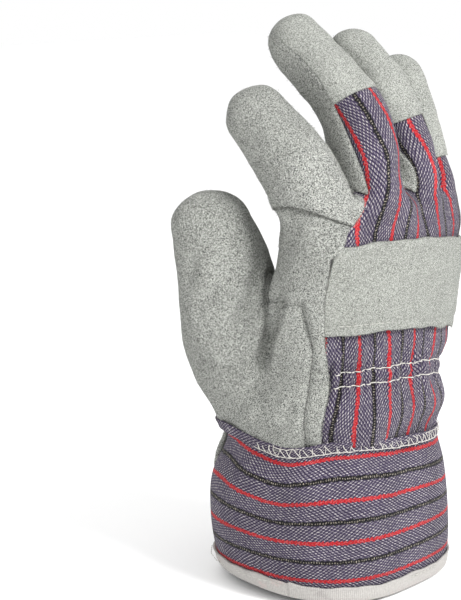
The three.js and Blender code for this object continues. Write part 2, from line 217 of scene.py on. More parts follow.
def tube_box(tube):
    """The corners of a box that a tube lies well inside."""
    rows, margin = tube["rows"], 14.0
    reach = rows[:, 3:5].max(1)[:, None]
    lo = (rows[:, 1:3] - reach).min(0) - margin
    hi = (rows[:, 1:3] + reach).max(0) + margin
    return np.append(lo, rows[0, 0] - margin), np.append(hi, rows[-1, 0] + tube["tip"] + margin)


def distances(p):
    """Every tube's distance at the points, FAR where a point is well outside the tube's box."""
    found = {"body": tube_distance(BODY, p)}
    for name in (*FINGERS, "thumb"):
        lo, hi = tube_box(TUBES[name])
        near = ((p > lo) & (p < hi)).all(1)
        found[name] = np.full(len(p), FAR)
        if near.any():
            found[name][near] = np.minimum(tube_distance(TUBES[name], p[near]), FAR)
    return found


def smooth_min(a, b, k):
    h = np.maximum(k - np.abs(a - b), 0) / k
    return np.minimum(a, b) - h * h * k / 4


def field(p):
    """The hand's surface is where this is 0. The thumb melts into the palm only near its root."""
    d = distances(p)
    fingers = d["index"]
    for name in ("middle", "ring", "little"):
        fingers = smooth_min(fingers, d[name], 2.5)
    hand = smooth_min(d["body"], fingers, 6.0)
    return smooth_min(hand, d["thumb"], 9.0 - 6.5 * ramp(p[:, 2], 96, 122))


def gradient(p):
    h = 0.4
    return np.stack([(field(p + e) - field(p - e)) / (2 * h) for e in h * np.eye(3)], 1)


def project(p, offset=0.0, rounds=2):
    """The points moved on to the surface that lies offset outside the hand's, and its normals there."""
    p = p.copy()
    for _ in range(rounds):
        g = gradient(p)
        step = np.clip((field(p) - offset) / np.maximum((g**2).sum(1), 0.05), -4, 4)
        p -= g * step[:, None]
    return p, unit(gradient(p))


# Meshing the hand's surface.
def surface_nets():
    """The points and quads of the hand's surface, from a grid of cubes that are VOXEL wide."""
    lo, hi = np.array([-86.0, -62.0, 42.0]), np.array([68.0, 56.0, 262.0])
    n = np.ceil((hi - lo) / VOXEL).astype(int)
    values = field(lo + VOXEL * np.indices(n).reshape(3, -1).T).reshape(n)
    inside = values < 0
    c = [slice(0, -1), slice(1, None)]
    corners = [(i, j, k) for i in (0, 1) for j in (0, 1) for k in (0, 1)]
    count = sum(inside[c[i], c[j], c[k]].astype(np.int8) for i, j, k in corners)
    active = (count > 0) & (count < 8)
    cell = np.full(active.shape, -1)
    at = np.argwhere(active)
    cell[active] = np.arange(len(at))
    total, hits = np.zeros((len(at), 3)), np.zeros(len(at))
    for a in corners:
        for b in corners:
            if sum(b) != sum(a) + 1 or any(x > y for x, y in zip(a, b)):
                continue
            fa, fb = values[tuple((at + a).T)], values[tuple((at + b).T)]
            cross = (fa < 0) != (fb < 0)
            t = fa[cross] / (fa[cross] - fb[cross])
            total[cross] += np.array(a) + t[:, None] * (np.array(b) - np.array(a))
            hits[cross] += 1
    quads = []
    for k in range(3):
        edge = np.argwhere(np.diff(inside, axis=k))
        sides = [(k + 1) % 3, (k + 2) % 3]
        edge = edge[((edge[:, sides] > 0) & (edge[:, sides] < n[sides] - 1)).all(1)]
        ring = np.stack([cell[tuple((edge - np.roll([0, i, j], k)).T)]
                         for i, j in ((0, 0), (1, 0), (1, 1), (0, 1))], 1)
        inner = inside[tuple(edge.T)]
        ring[~inner] = ring[~inner][:, ::-1]
        quads.append(ring)
    quads = np.concatenate(quads)
    return lo + VOXEL * (at + total / hits[:, None]), quads[(quads >= 0).all(1)]


def relaxed(verts, quads, rounds):
    """The net's points evened out along the surface."""
    edges = np.concatenate([quads[:, [0, 1]], quads[:, [1, 2]], quads[:, [2, 3]], quads[:, [3, 0]]])
    edges = np.concatenate([edges, edges[:, ::-1]])
    count = np.maximum(np.bincount(edges[:, 0], minlength=len(verts)), 1)[:, None]
    for _ in range(rounds):
        mean = np.stack([np.bincount(edges[:, 0], verts[edges[:, 1], k], len(verts)) for k in range(3)], 1)
        verts, _ = project(0.3 * verts + 0.7 * mean / count, rounds=1)
    return verts


verts, quads = surface_nets()
verts, normals = project(verts, rounds=2)
verts = relaxed(verts, quads, 2)
d1 = np.linalg.norm(verts[quads[:, 0]] - verts[quads[:, 2]], axis=1)
d2 = np.linalg.norm(verts[quads[:, 1]] - verts[quads[:, 3]], axis=1)
tris = np.where((d1 < d2)[:, None, None],
                quads[:, [0, 1, 2, 0, 2, 3]].reshape(-1, 2, 3),
                quads[:, [1, 2, 3, 1, 3, 0]].reshape(-1, 2, 3)).reshape(-1, 3)


# Cutting the surface into panels.
def wedge(tube, place, start, end):
    """Below 0 between two angles of the tube's sections, in millimetres from the nearer side."""
    u, v, _, _, w, d = place

    def ray(angle):
        a = np.radians(angle)
        sides = ((w, np.cos(a)), (d, np.sin(a)))
        return unit(np.stack([half * signed(c, 2 / tube["power"]) for half, c in sides], 1))

    a, b = ray(start), ray(end)
    return np.maximum(a[:, 1] * u - a[:, 0] * v, b[:, 0] * v - b[:, 1] * u)


def body_angle(p):
    """The angle, in degrees from the little finger's side, that the body's section has at a point."""
    u, v, _, _, w, d = local(BODY, p)
    half = BODY["power"] / 2
    return np.degrees(np.arctan2(signed(v / d, half), signed(u / w, half))) % 360


# The tape's lower edge round the glove: an angle and a height. It dips and rises with the folds.
TAPE_EDGE = np.array([
    (0, 63.3), (30, 63.2), (64, 63.5), (83, 64.9), (101, 66.4), (118, 67.7), (135, 67.6), (147, 65.7),
    (164, 63.1), (178, 65.7), (204, 70.5), (222, 69.5), (240, 66), (300, 63.6), (360, 63.3)])
TAPE_HEIGHT = 5.5


def tape_low(angle):
    return sum(np.interp((angle + shift) % 360, *TAPE_EDGE.T) / 5 for shift in (-6, -3, 0, 3, 6))


def along_table(table, z):
    """The table's value at the heights z, with its corners rounded off."""
    rows = np.array(table, float)
    return sum(np.interp(z + k * 3.0, *rows.T) for k in (-1, -0.5, 0, 0.5, 1)) / 5


# Where seams run: an angle of the section at each height. The first two are of the body's section.
RADIAL_SEAM = [(74, 141), (91, 140.4), (98, 141), (107, 142.5), (120, 147.5), (135, 148), (151, 144.3),
               (161, 142)]
THUMB_SEAM = [(76, 150.4), (87, 152.9), (99, 154.3), (110, 152.8), (118.6, 155.8), (125.7, 161), (134, 166)]
FINGER_SEAM = {
    "middle": [(165, 150), (176, 151), (185, 154), (200, 163), (213, 168), (226, 163), (236, 164), (256, 181)],
    "ring": [(165, 150), (172, 150), (178, 134), (184, 128), (190, 134), (197, 156), (205, 164), (250, 172)],
    "little": [(165, 150), (250, 150)],
}
# The angle of each finger where its backing of cloth starts, and the height where its leather tip does.
BACKED = {"middle": (30, 218), "ring": (30, 208), "little": (5, 190)}


def panel_fields(p):
    """Each panel's field, below 0 inside it, from the panel that comes first to the palm's edge."""
    d = distances(p)
    place = {name: local(TUBES[name], p) for name in TUBES}
    x, z = p[:, 0], p[:, 2]

    def own(*names):
        rest = [d[n] for n in FINGERS if n not in names]
        return 0.5 * (np.minimum.reduce([d[n] for n in names]) - np.minimum.reduce(rest))

    found = {}
    on_fingers = np.minimum.reduce([d[n] for n in FINGERS])
    back = np.maximum(wedge(BODY, place["body"], ULNAR_SEAM, along_table(RADIAL_SEAM, z)),
                      d["body"] - on_fingers - 2)
    for name, (start, tip) in BACKED.items():
        height = place[name][3] + place[name][2]
        sector = wedge(TUBES[name], place[name], start, along_table(FINGER_SEAM[name], height))
        found[f"{name}_tip"] = np.maximum.reduce([sector, tip - height, own(name)])
        back = np.minimum(back, np.maximum.reduce([sector, own(name), on_fingers - d["body"] - 6]))
    index_back = np.maximum(0.79 * (159 + 0.781 * (x + 45) - z), 0.5 * (d["index"] - d["middle"]))
    found["back"] = np.maximum(back, -index_back)
    wing = np.maximum(wedge(BODY, place["body"], along_table(THUMB_SEAM, z), 205), z - 134)
    found["thumb"] = np.minimum(0.5 * (d["thumb"] - d["body"]), wing)
    height = place["index"][3] + place["index"][2]
    found["index_side"] = np.maximum.reduce([
        wedge(TUBES["index"], place["index"], -40, 48), 165 - height, height - 213,
        0.5 * (d["index"] - d["middle"]), 0.5 * (d["index"] - d["body"])])
    found["index_front"] = np.maximum(0.927 * (174 - 0.404 * (x + 44) - z), own("index"))
    found["two_finger_front"] = np.maximum(160 + 0.2126 * (x - 8) - z, own("middle", "ring"))
    tongue = np.maximum(TONGUE_LOW - z, wedge(BODY, place["body"], TONGUE_FROM, TONGUE_TO))
    found["kept"] = np.minimum(tape_low(body_angle(p)) + TAPE_HEIGHT / 2 - z, tongue)
    return found


def split(data, tris, k):
    """The triangles, cut along the zero line of column k of the points' data."""
    edges = np.unique(np.sort(tris[:, [[0, 1], [1, 2], [2, 0]]].reshape(-1, 2), 1), axis=0)
    fa, fb = data[edges[:, 0], k], data[edges[:, 1], k]
    t = np.where(fa * fb < 0, fa / np.where(fa == fb, 1, fa - fb), 0.5)
    near = (fa * fb < 0) & ((t < 0.28) | (t > 0.72))
    far = np.minimum(t, 1 - t)
    order = np.where(near)[0][np.argsort(-far[near])]
    moved = np.where(t[order] < 0.5, edges[order, 0], edges[order, 1])
    a, b = data[edges[order, 0]], data[edges[order, 1]]
    data[moved] = a + (b - a) * t[order][:, None]
    data[moved, k] = 0
    f = data[:, k]
    pairs = np.sort(tris[:, [[0, 1], [1, 2], [2, 0]]], 2)
    crossed = f[pairs[..., 0]] * f[pairs[..., 1]] < 0
    keys = pairs[..., 0].astype(np.int64) * len(data) + pairs[..., 1]
    unique, back = np.unique(keys[crossed], return_inverse=True)
    ea, eb = unique // len(data), unique % len(data)
    t = (f[ea] / (f[ea] - f[eb]))[:, None]
    added = data[ea] + (data[eb] - data[ea]) * t
    added[:, k] = 0
    middle = np.full(crossed.shape, -1)
    middle[crossed] = len(data) + back
    data = np.concatenate([data, added])
    count = crossed.sum(1)
    parts = [tris[count == 0]]

    def turned(cuts, first):
        """The corners and cut edges of the triangles with so many cuts, from the one that first gives."""
        pick = count == cuts
        rows, order = np.arange(pick.sum())[:, None], (first(crossed[pick])[:, None] + np.arange(3)) % 3
        return (*tris[pick][rows, order].T, *middle[pick][rows, order].T)

    a, b, c, ab, _, _ = turned(1, lambda cut: cut.argmax(1))
    parts += [np.stack([a, ab, c], 1), np.stack([ab, b, c], 1)]
    a, b, c, ab, _, ca = turned(2, lambda cut: ((~cut).argmax(1) + 2) % 3)
    parts += [np.stack([a, ab, ca], 1), np.stack([ab, b, c], 1), np.stack([ab, c, ca], 1)]
    return data, np.concatenate(parts)


fields = panel_fields(verts)
names = list(fields)
data = np.concatenate([verts, np.stack([fields[n] for n in names], 1)], 1)
data, rest = split(data, tris, 3 + names.index("kept"))
rest = rest[data[rest, 3 + names.index("kept")].mean(1) < 0]
panels = {}
for name in names[:-1]:
    k = 3 + names.index(name)
    data, rest = split(data, rest, k)
    inside = data[rest, k].mean(1) < 0
    panels[name], rest = rest[inside], rest[~inside]
panels["palm"] = rest


def compact(faces):
    used, back = np.unique(faces, return_inverse=True)
    return used, back.reshape(faces.shape)


def largest(faces):
    """The faces without the small islands, of up to 60 faces, that a cut can leave."""
    used, f = compact(faces)
    label = np.arange(len(used))
    while True:
        low = label[f].min(1)
        new = label.copy()
        for k in range(3):
            np.minimum.at(new, f[:, k], low)
        new = new[new]
        if (new == label).all():
            break
        label = new
    root = label[f[:, 0]]
    values, counts = np.unique(root, return_counts=True)
    return faces[np.isin(root, values[counts > 60])]


panels = {name: largest(faces) for name, faces in panels.items()}
points = {}
for name, faces in panels.items():
    used, panels[name] = compact(faces)
    points[name] = data[used, :3]
normals = {name: project(p, rounds=0)[1] for name, p in points.items()}


# Shaping tools.
class Waves:
    """A smooth random field with features about this wide, from about -1 to 1."""

    def __init__(self, width, stretch=(1, 1, 1)):
        count = 14
        k = rng.normal(size=(count, 3))
        k *= (rng.uniform(0.6, 1.3, count) * math.pi / width / np.linalg.norm(k, axis=1))[:, None]
        self.k, self.phase = k / np.array(stretch), rng.uniform(0, 2 * math.pi, count)
        self.scale = 1.6 / math.sqrt(count)

    def __call__(self, p):
        return np.cos(p @ self.k.T + self.phase).sum(-1) * self.scale


def boundary(faces):
    """The directed edges that only one face has."""
    e = faces[:, [[0, 1], [1, 2], [2, 0]]].reshape(-1, 2)
    key = np.sort(e, 1)
    _, back, count = np.unique(key[:, 0].astype(np.int64) * (key.max() + 1) + key[:, 1],
                               return_inverse=True, return_counts=True)
    return e[count[back] == 1]


def nearest(p, targets, limit=12.0):
    """The distance from each point to the nearest target, limit where none is nearer."""
    found = np.full(len(p), limit)
    near = ((p > targets.min(0) - limit) & (p < targets.max(0) + limit)).all(1)
    tree = KDTree(len(targets))
    for i, t in enumerate(targets):
        tree.insert(t, i)
    tree.balance()
    found[near] = [min(tree.find(q)[2], limit) for q in p[near]]
    return found


edges_of = {name: points[name][np.unique(boundary(f))] for name, f in panels.items()}


def seam(name, *others):
    """The distance from a panel's points to its seams with other panels."""
    return nearest(points[name], np.concatenate([edges_of[n] for n in others]))


# Creases: how wide and deep, and the points they run through. The ends fade out.
CREASES = [
    (3.0, 4.6, [(-48.1, -18, 141), (-47.5, -17, 133), (-46.1, -14.5, 125.8), (-45.1, -10.1, 114.7),
                (-48.4, -4.1, 99.3)]),
    (4.0, 2.8, [(-46.4, -2, 150.6), (-49.6, -3.9, 138.3), (-54.1, -0.4, 125), (-55.3, 3.4, 113.3)]),
    (2.6, 1.0, [(-67.7, 13.9, 153.1), (-68.7, 16.7, 144.9), (-68.4, 20.1, 137.7)]),
    (2.4, 0.8, [(-65.1, 12.9, 129.7), (-65.7, 16, 124.4)]),
    (2.6, 1.2, [(-44.9, -24.9, 90.9), (-48.8, -18.5, 80)]),
    (3.0, 1.7, [(-49.4, -18.4, 177), (-50.1, -28.9, 175.5), (-45.3, -37.8, 175.1)]),
    (3.2, 1.5, [(-52, -10, 112), (-57, 4, 100), (-58, 14, 92)]),
    (3.0, 1.2, [(-50, -12, 100), (-53, -2, 88), (-52, 10, 80)]),
    (3.4, 1.4, [(-46, 0, 171), (-48, -12, 168), (-44, -24, 163)]),
    (3.6, 1.6, [(-20, 2, 172), (0, 0, 168), (22, -1, 168), (38, -6, 166)]),
    (3.4, 1.3, [(-30, 8, 148), (-12, 6, 140), (10, 5, 134), (30, 3, 130)]),
    (3.2, 1.2, [(-22, 20, 118), (-10, 16, 126), (6, 13, 132)]),
    (2.6, 0.9, [(-38, 4, 196), (-30, 6, 194)]),
    (2.6, 0.9, [(-8, -12, 204), (4, -12, 203)]),
    (2.6, 0.9, [(13, -14, 202), (27, -14, 201)]),
]


def creased(p):
    moved = np.zeros(len(p))
    for width, depth, path in CREASES:
        line = even(np.array(path, float), step=0.5)[0]
        near = ((p > line.min(0) - 4 * width) & (p < line.max(0) + 4 * width)).all(1)
        if not near.any():
            continue
        d2 = ((p[near][:, None, :] - line[None]) ** 2).sum(2)
        d, t = np.sqrt(d2.min(1)), d2.argmin(1) / (len(line) - 1)
        fade = ramp(t, -0.05, 0.3) * (1 - ramp(t, 0.7, 1.05)) * (0.85 + 0.15 * np.cos(t * 17 + depth))
        moved[near] += fade * depth * (0.35 * bell(d, 1.9 * width, width) - bell(d, 0, width))
    # The valley where the thumb leaves the hand.
    d = distances(p)
    apart = d["thumb"] - np.minimum(d["body"], d["index"])
    moved -= 2.2 * bell(apart, 0, 2.6) * ramp(p[:, 2], 98, 116) * (1 - ramp(d["thumb"], 10, 20))
    return 1.3 * moved


# Where a panel is fuller than its tube: the panel, a middle, how far that reaches and how high it is.
FULL = [("two_finger_front", (-17, -17, 192), 15, 3.4), ("index_front", (-26, -22, 188), 11, 1.6)]
LUMPS, PUCKER, SMALL, WARP = Waves(24), Waves(9), Waves(4.5), Waves(30)


def elastic_row(x):
    """The height of the upper of the two stitched rows that hold the elastic inside the back."""
    return 104.3 - 0.0019 * (x + 15)**2


def arc_length(angle):
    """Millimetres round the body's outline from its middle at the back, towards the thumb's side less."""
    a = np.radians(np.linspace(-180, 540, 1441))
    w, d = 52.0, 33.0
    n = 2 / BODY["power"]
    s = lengths(np.stack([w * signed(np.cos(a), n), d * signed(np.sin(a), n)], 1))
    return np.interp(90, np.degrees(a), s) - np.interp(angle, np.degrees(a), s)


# Where the stripes run: the cloth's place across, at the middle of the back and at each finger's middle.
BACK_CLOTH = 2 * STRIPE + 14.4
FINGER_CLOTH = {"middle": 15.6, "ring": 53.6, "little": 72.0}
# How far the cloth is turned about a finger at each height, towards the little finger where below 0.
FINGER_TURN = {
    "middle": [(172, 0), (184, -2.5), (194, -3.8), (204, -2.6), (216, 0)],
    "ring": [(168, 0), (176, -2), (184, -3.6), (192, -1.5), (200, 2.2), (206, 4)],
    "little": [(160, 0), (230, 0)],
}


def hand_cloth(p):
    """Millimetres across and along the striped cloth of the back. Stripes are at whole STRIPEs across."""
    angle = body_angle(p)
    angle = np.where(angle > 270, angle - 360, angle)
    across = BACK_CLOTH + arc_length(angle) + 1.2 * WARP(p)
    across -= 3 * ramp(angle, 105, 140) * bell(p[:, 2], 105, 22)
    on_back = np.stack([across, p[:, 2]], 1)
    d = distances(p)
    share = {n: np.exp(-d[n] / 1.6) for n in FINGER_CLOTH}
    on_finger = np.zeros((len(p), 2))
    for name, middle in FINGER_CLOTH.items():
        u, v, s, z, w, _ = local(TUBES[name], p)
        across = middle + along_table(FINGER_TURN[name], z) + np.arctan2(u, np.maximum(v, 0.1)) * w * 0.98
        zs, line = TUBES[name]["line"]
        along = zs[0] + np.interp(z, zs, lengths(line)) + s
        on_finger += (share[name] / sum(share.values()))[:, None] * np.stack([across, along], 1)
    t = ramp(p[:, 2], 158, 186)[:, None]
    return np.concatenate([on_back * (1 - t) + on_finger * t, np.zeros((len(p), 1))], 1)


def gathered(p, cloth):
    """How far the back's cloth stands in or out where the elastic and the tape gather it."""
    z, off = p[:, 2], p[:, 2] - (elastic_row(p[:, 0]) - 3.2)
    phase = 2 * math.pi * cloth[:, 0] / 6.1 + 1.3 * PUCKER(p * np.array([1, 1, 0.3])) + 0.9 * LUMPS(p)
    ripple = np.cos(phase) + 0.35 * np.cos(2.3 * phase + 1)
    strength = 1.5 * bell(off, 0, 10) + 0.7 * bell(z, 70, 6) + 0.35 * bell(z, 119, 7)
    moved = ripple * strength * (0.8 + 0.35 * WARP(p)) - bell(off, 3.2, 1.5) - bell(off, -3.2, 1.5)
    return moved + 0.9 * bell(off, -14, 7) + 0.8 * bell(off, 12, 5)


# Each panel's own shape.
moved, cloths = {}, {"back": hand_cloth(points["back"])}
for name, p in points.items():
    moved[name] = 0.75 * LUMPS(p) + (0.3 if name == "back" else 0.22) * PUCKER(p)
    if name == "back":
        moved[name] += gathered(p, cloths["back"])
    else:
        moved[name] += creased(p) + 0.07 * SMALL(p)
for name, middle, reach, height in FULL:
    moved[name] += height * np.exp(-((points[name] - np.array(middle))**2).sum(1) / reach**2)

# Seams that sink in: a panel, those that it meets there, how deep the groove is and how wide.
SUNK = [
    ("back", "palm two_finger_front index_front", 0.9, 1.8),
    ("back", "middle_tip ring_tip little_tip", 0.35, 1.6),
    ("middle_tip", "two_finger_front", 1.5, 1.5), ("two_finger_front", "middle_tip", 1.4, 1.5),
    ("ring_tip", "two_finger_front", 1.5, 1.5), ("two_finger_front", "ring_tip", 1.4, 1.5),
    ("little_tip", "palm", 1.5, 1.5), ("palm", "little_tip", 1.4, 1.5),
    ("two_finger_front", "palm", 1.0, 1.4), ("palm", "two_finger_front", 0.8, 1.4),
    ("palm", "thumb", 1.1, 1.6), ("thumb", "palm", 1.4, 1.6), ("palm", "index_front", 1.2, 1.5),
    ("index_side", "index_front palm", 1.3, 1.5), ("index_front", "index_side", 1.3, 1.5),
    ("index_front", "two_finger_front", 1.0, 1.4), ("two_finger_front", "index_front", 1.0, 1.4),
]
for name, others, depth, width in SUNK:
    moved[name] -= depth * bell(seam(name, *others.split()), 0, width)

# Edges that lap over a neighbour, stand out there and are worn round: a panel, the other, how high the
# edge stands and how far in.
LAPPED = [
    ("middle_tip", "back", 0.75, 7), ("ring_tip", "back", 0.75, 7), ("little_tip", "back", 0.75, 7),
    ("two_finger_front", "back", 0.45, 5), ("palm", "back", 0.7, 5), ("index_front", "palm", 0.6, 5),
    ("index_front", "back", 0.5, 5),
]
for name, other, height, reach in LAPPED:
    d = seam(name, other)
    moved[name] += height * bell(d, 0, reach) - 0.35 * bell(d, 0, 0.7)

# The palm's edge covers the end of the strap, and its tongue stands clear of the cuff and its tape.
p = points["palm"]
beside = ramp(p[:, 2], 114, 122) * (1 - ramp(p[:, 2], 158, 165)) * (p[:, 0] < 0)
moved["palm"] += 1.3 * beside * bell(seam("palm", "back"), 0, 7)
inside = 1 - ramp(wedge(BODY, local(BODY, p), TONGUE_FROM, TONGUE_TO), -4, 2.5)
moved["palm"] += 2.4 * inside * (1 - ramp(p[:, 2], 67, TONGUE_ROOT))


# Materials.
def put(socket, value):
    """Links a Value to a socket, or sets it to a number or to a colour of 0 to 255 as screens show it."""
    if isinstance(value, Value):
        value.tree.links.new(value.socket, socket)
    elif isinstance(value, tuple):
        shown = [v / 255 for v in value]
        linear = [c / 12.92 if c <= 0.04045 else ((c + 0.055) / 1.055)**2.4 for c in shown]
        socket.default_value = (*linear, 1)
    else:
        socket.default_value = value


class Value:
    """What a new shader node gives out. Sums and products of Values add further nodes."""

    def __init__(self, tree, kind, inputs, output=0, **settings):
        made = tree.nodes.new("ShaderNode" + kind)
        for key, value in settings.items():
            setattr(made, key, value)
        for key, value in inputs.items():
            put(made.inputs[key], value)
        self.tree, self.socket = tree, made.outputs[output]

    def math(self, operation, *others):
        return Value(self.tree, "Math", dict(enumerate((self, *others))), operation=operation)

    def __add__(self, other):
        return self.math("ADD", other)

    def __sub__(self, other):
        return self.math("SUBTRACT", other)

    def __mul__(self, other):
        return self.math("MULTIPLY", other)

    def __truediv__(self, other):
        return self.math("DIVIDE", other)

    def __abs__(self):
        return self.math("ABSOLUTE")

    def step(self, low, high):
        """0 below low, 1 above high and smooth between."""
        return Value(self.tree, "MapRange", {"Value": self, "From Min": low, "From Max": high},
                     interpolation_type="SMOOTHSTEP")

    def off_middle(self):
        """The distance from the middle of the whole step that this is in."""
        return abs(self.math("FRACT") - 0.5)


class Nodes:
    """A new material and the nodes that fill it."""

    def __init__(self, name):
        self.material = bpy.data.materials.new(name)
        self.material.use_nodes = True
        self.tree = self.material.node_tree

    def mix(self, share, a, b):
        return Value(self.tree, "Mix", {0: share, 6: a, 7: b}, 2, data_type="RGBA")

    def noise(self, scale, detail=3.0, rough=0.55, distortion=0.0):
        """Noise over the object, scale features to the metre."""
        place = Value(self.tree, "TexCoord", {}, "Object")
        return Value(self.tree, "TexNoise", {"Vector": place, "Scale": scale, "Detail": detail,
                                             "Roughness": rough, "Distortion": distortion})

    def cloth(self):
        vector = Value(self.tree, "Attribute", {}, "Vector", attribute_name="cloth")
        return [Value(self.tree, "SeparateXYZ", {"Vector": vector}, k) for k in (0, 1)]

    def finish(self, color, bump=None, **inputs):
        """The material, with its colour, its bump's height, strength and depth, and its shader's inputs."""
        shader = self.tree.nodes["Principled BSDF"].inputs
        put(shader["Base Color"], color)
        if bump:
            bump = dict(zip(("Height", "Strength", "Distance"), bump))
            put(shader["Normal"], Value(self.tree, "Bump", bump))
        for key, value in inputs.items():
            put(shader[key.replace("_", " ")], value)
        return self.material


def suede(name, light, dark, nap_scale, contrast, patches, depth):
    """Split leather: a nap of curled fibres over lighter and darker patches."""
    m = Nodes(name)
    height = m.noise(nap_scale, 1.2, 0.5, 1.6) * 0.62 + m.noise(nap_scale * 1.9, 1.5, 0.6, 1.0) * 0.38
    tone = (height - 0.5) * contrast + 0.5 + (m.noise(110, 2, 0.5, 0.4) - 0.5) * patches
    tone += (m.noise(30, 2, 0.5, 0.4) - 0.5) * (patches * 0.7)
    return m.finish(m.mix(tone.step(-0.1, 1.1), dark, light), (height, 1.0, depth), Roughness=0.93,
                    Sheen_Weight=0.12, Sheen_Roughness=0.5, Specular_IOR_Level=0.12)


def striped(name, faded=0.0):
    """Herringbone twill, with red and black stripes that alternate a STRIPE apart."""
    m = Nodes(name)
    across, along = m.cloth()
    count = across / STRIPE
    whole = count.math("ROUND")
    odd = whole.math("PINGPONG", 1.0)
    slant = count.math("PINGPONG", 1.0) * (STRIPE * 1.35)
    row = (along + slant + (m.noise(160, 2) - 0.5) * 2.0) / 2.0
    in_row = row.off_middle()
    in_thread = (across / 0.86 + row.math("FLOOR") * 0.37).off_middle()
    ridge = in_row.step(0.46, 0.2)
    dash = in_row.step(0.34, 0.2) * in_thread.step(0.36, 0.18)
    grain = m.noise(1400, 3, 0.6)
    worn = m.noise(950, 3, 0.6).step(0.4, 0.6)
    low, high = m.mix(grain, (54, 45, 70), (72, 62, 90)), m.mix(grain, (74, 64, 92), (96, 85, 114))
    cloth = m.mix(dash * (worn * 0.76 + 0.22), m.mix(ridge, low, high), (218, 212, 212))
    # The stripes: black with pale beads down its middle, and red with pink flecks, both with frayed sides.
    bead = (along / 1.15 + m.noise(500, 2) * 1.3).off_middle()
    centred = abs((count - whole) * STRIPE + (m.noise(380, 2) - 0.5) * 2.2)
    dots = bead.step(0.28, 0.14) * centred.step(0.45, 0.2)
    black = m.mix(dots * (worn * 0.65 + 0.25), m.mix(grain, (12, 11, 13), (32, 30, 33)), (206, 196, 178))
    flecks = dots.math("MAXIMUM", dash) * worn
    red = m.mix(flecks * 0.5, m.mix(grain, (176, 18, 32), (232, 46, 54)), (240, 150, 150))
    edge = abs(count - whole) * STRIPE + (m.noise(900, 2) - 0.5) * 1.8 + in_row * 0.9
    color = m.mix(edge.step(1.35, 1.0) * odd, cloth, black)
    color = m.mix(edge.step(1.15, 0.9) * (odd * -1.0 + 1.0), color, red)
    color = Value(m.tree, "HueSaturation", {"Color": color, "Value": m.noise(60, 3) * 0.36 + 0.36})
    if faded:
        color = m.mix(faded, color, (118, 118, 120))
    return m.finish(color, (ridge * 0.6 + dash * 0.4 + grain * 0.3, 0.9, 0.0005), Roughness=0.92,
                    Sheen_Weight=0.06, Specular_IOR_Level=0.15)


def ribbed():
    """The binding: a ribbed cotton tape, with faint pink where dye has run."""
    m = Nodes("binding_tape")
    along, across = m.cloth()
    rib = ((along + m.noise(300) * 0.5) * 6.6).math("SINE")
    dirt = m.noise(90, 4, 0.6)
    base = m.mix(rib * 0.14 + m.noise(1300, 3), (140, 137, 134), (184, 181, 177))
    pink = m.mix(dirt.step(0.58, 0.78), base, (182, 160, 157))
    grey = m.mix(dirt.step(0.42, 0.22) * 0.7, pink, (136, 132, 130))
    return m.finish(grey, (rib * 0.5 + (across * 9.0).math("SINE") * 0.2, 0.5, 0.0003), Roughness=0.9,
                    Sheen_Weight=0.1, Specular_IOR_Level=0.2)


def plain(name, light, dark):
    m = Nodes(name)
    return m.finish(m.mix(m.noise(900, 2), dark, light), (m.noise(2500, 2), 0.5, 0.0002), Roughness=0.8,
                    Sheen_Weight=0.2, Specular_IOR_Level=0.2)


SUEDE = suede("suede", (200, 202, 195), (34, 36, 33), 2300, 9.0, 0.3, 0.0012)
SUEDE_ROUGH = suede("suede_rough", (216, 218, 211), (34, 36, 33), 2050, 9.0, 0.35, 0.0016)
SUEDE_FINE = suede("suede_fine", (180, 182, 175), (88, 90, 85), 2400, 8.0, 0.2, 0.0008)
SUEDE_TIP = suede("suede_tip", (196, 198, 191), (92, 94, 89), 2400, 8.0, 0.3, 0.0010)
STRIPED = striped("stripe_fabric")
STRIPED_INSIDE = striped("stripe_fabric_inside", 0.62)
RIBBED = ribbed()
FIBRE = plain("fibre", (184, 185, 178), (120, 121, 115))
# Each kind of thread's material and slot.
THREADS = {
    "thread": (plain("thread", (206, 203, 196), (166, 163, 156)), "thread"),
    # Dark grey seam thread: partly a real thread, partly painted shade of the seams.
    "thread_pale": (plain("thread_pale", (186, 186, 179), (150, 150, 143)), "thread"),
    "thread_grey": (plain("thread_grey", (96, 97, 94), (58, 59, 57)), "thread"),
    "fibre": (FIBRE, "suede"),
    "nap": (FIBRE, "suede"),
    # Needle holes: near-black plugs that paint the shade inside each hole.
    "hole": (plain("needle_hole", (40, 40, 38), (24, 24, 24)), "thread"),
}


# Making meshes.
def make(name, verts_mm, faces, materials, node=None, indices=None, cloth=None):
    """A mesh from points in millimetres and lists of faces, of 3 or 4 corners each."""
    mesh = bpy.data.meshes.new(name)
    faces = [np.asarray(f, np.int32) for f in faces if len(f)]
    loops = np.concatenate([f.ravel() for f in faces])
    totals = np.concatenate([np.full(len(f), f.shape[1], np.int32) for f in faces])
    mesh.vertices.add(len(verts_mm))
    mesh.vertices.foreach_set("co", (np.asarray(verts_mm) * 0.001).astype(np.float32).ravel())
    mesh.loops.add(len(loops))
    mesh.loops.foreach_set("vertex_index", loops)
    mesh.polygons.add(len(totals))
    mesh.polygons.foreach_set("loop_start", (np.cumsum(totals) - totals).astype(np.int32))
    mesh.polygons.foreach_set("loop_total", totals)
    for material in materials:
        mesh.materials.append(material)
    if indices is not None:
        mesh.polygons.foreach_set("material_index", np.concatenate(indices).astype(np.int32))
    mesh.update(calc_edges=True)
    mesh.validate()
    mesh.polygons.foreach_set("use_smooth", np.ones(len(mesh.polygons), bool))
    if cloth is not None:
        domain = "POINT" if len(cloth) == len(verts_mm) else "CORNER"
        attribute = mesh.attributes.new("cloth", "FLOAT_VECTOR", domain)
        attribute.data.foreach_set("vector", np.asarray(cloth, np.float32).ravel())
    piece = bpy.data.objects.new(name, mesh)
    bpy.context.scene.collection.objects.link(piece)
    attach(piece, "root")
    if node:
        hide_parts(node)
    return piece


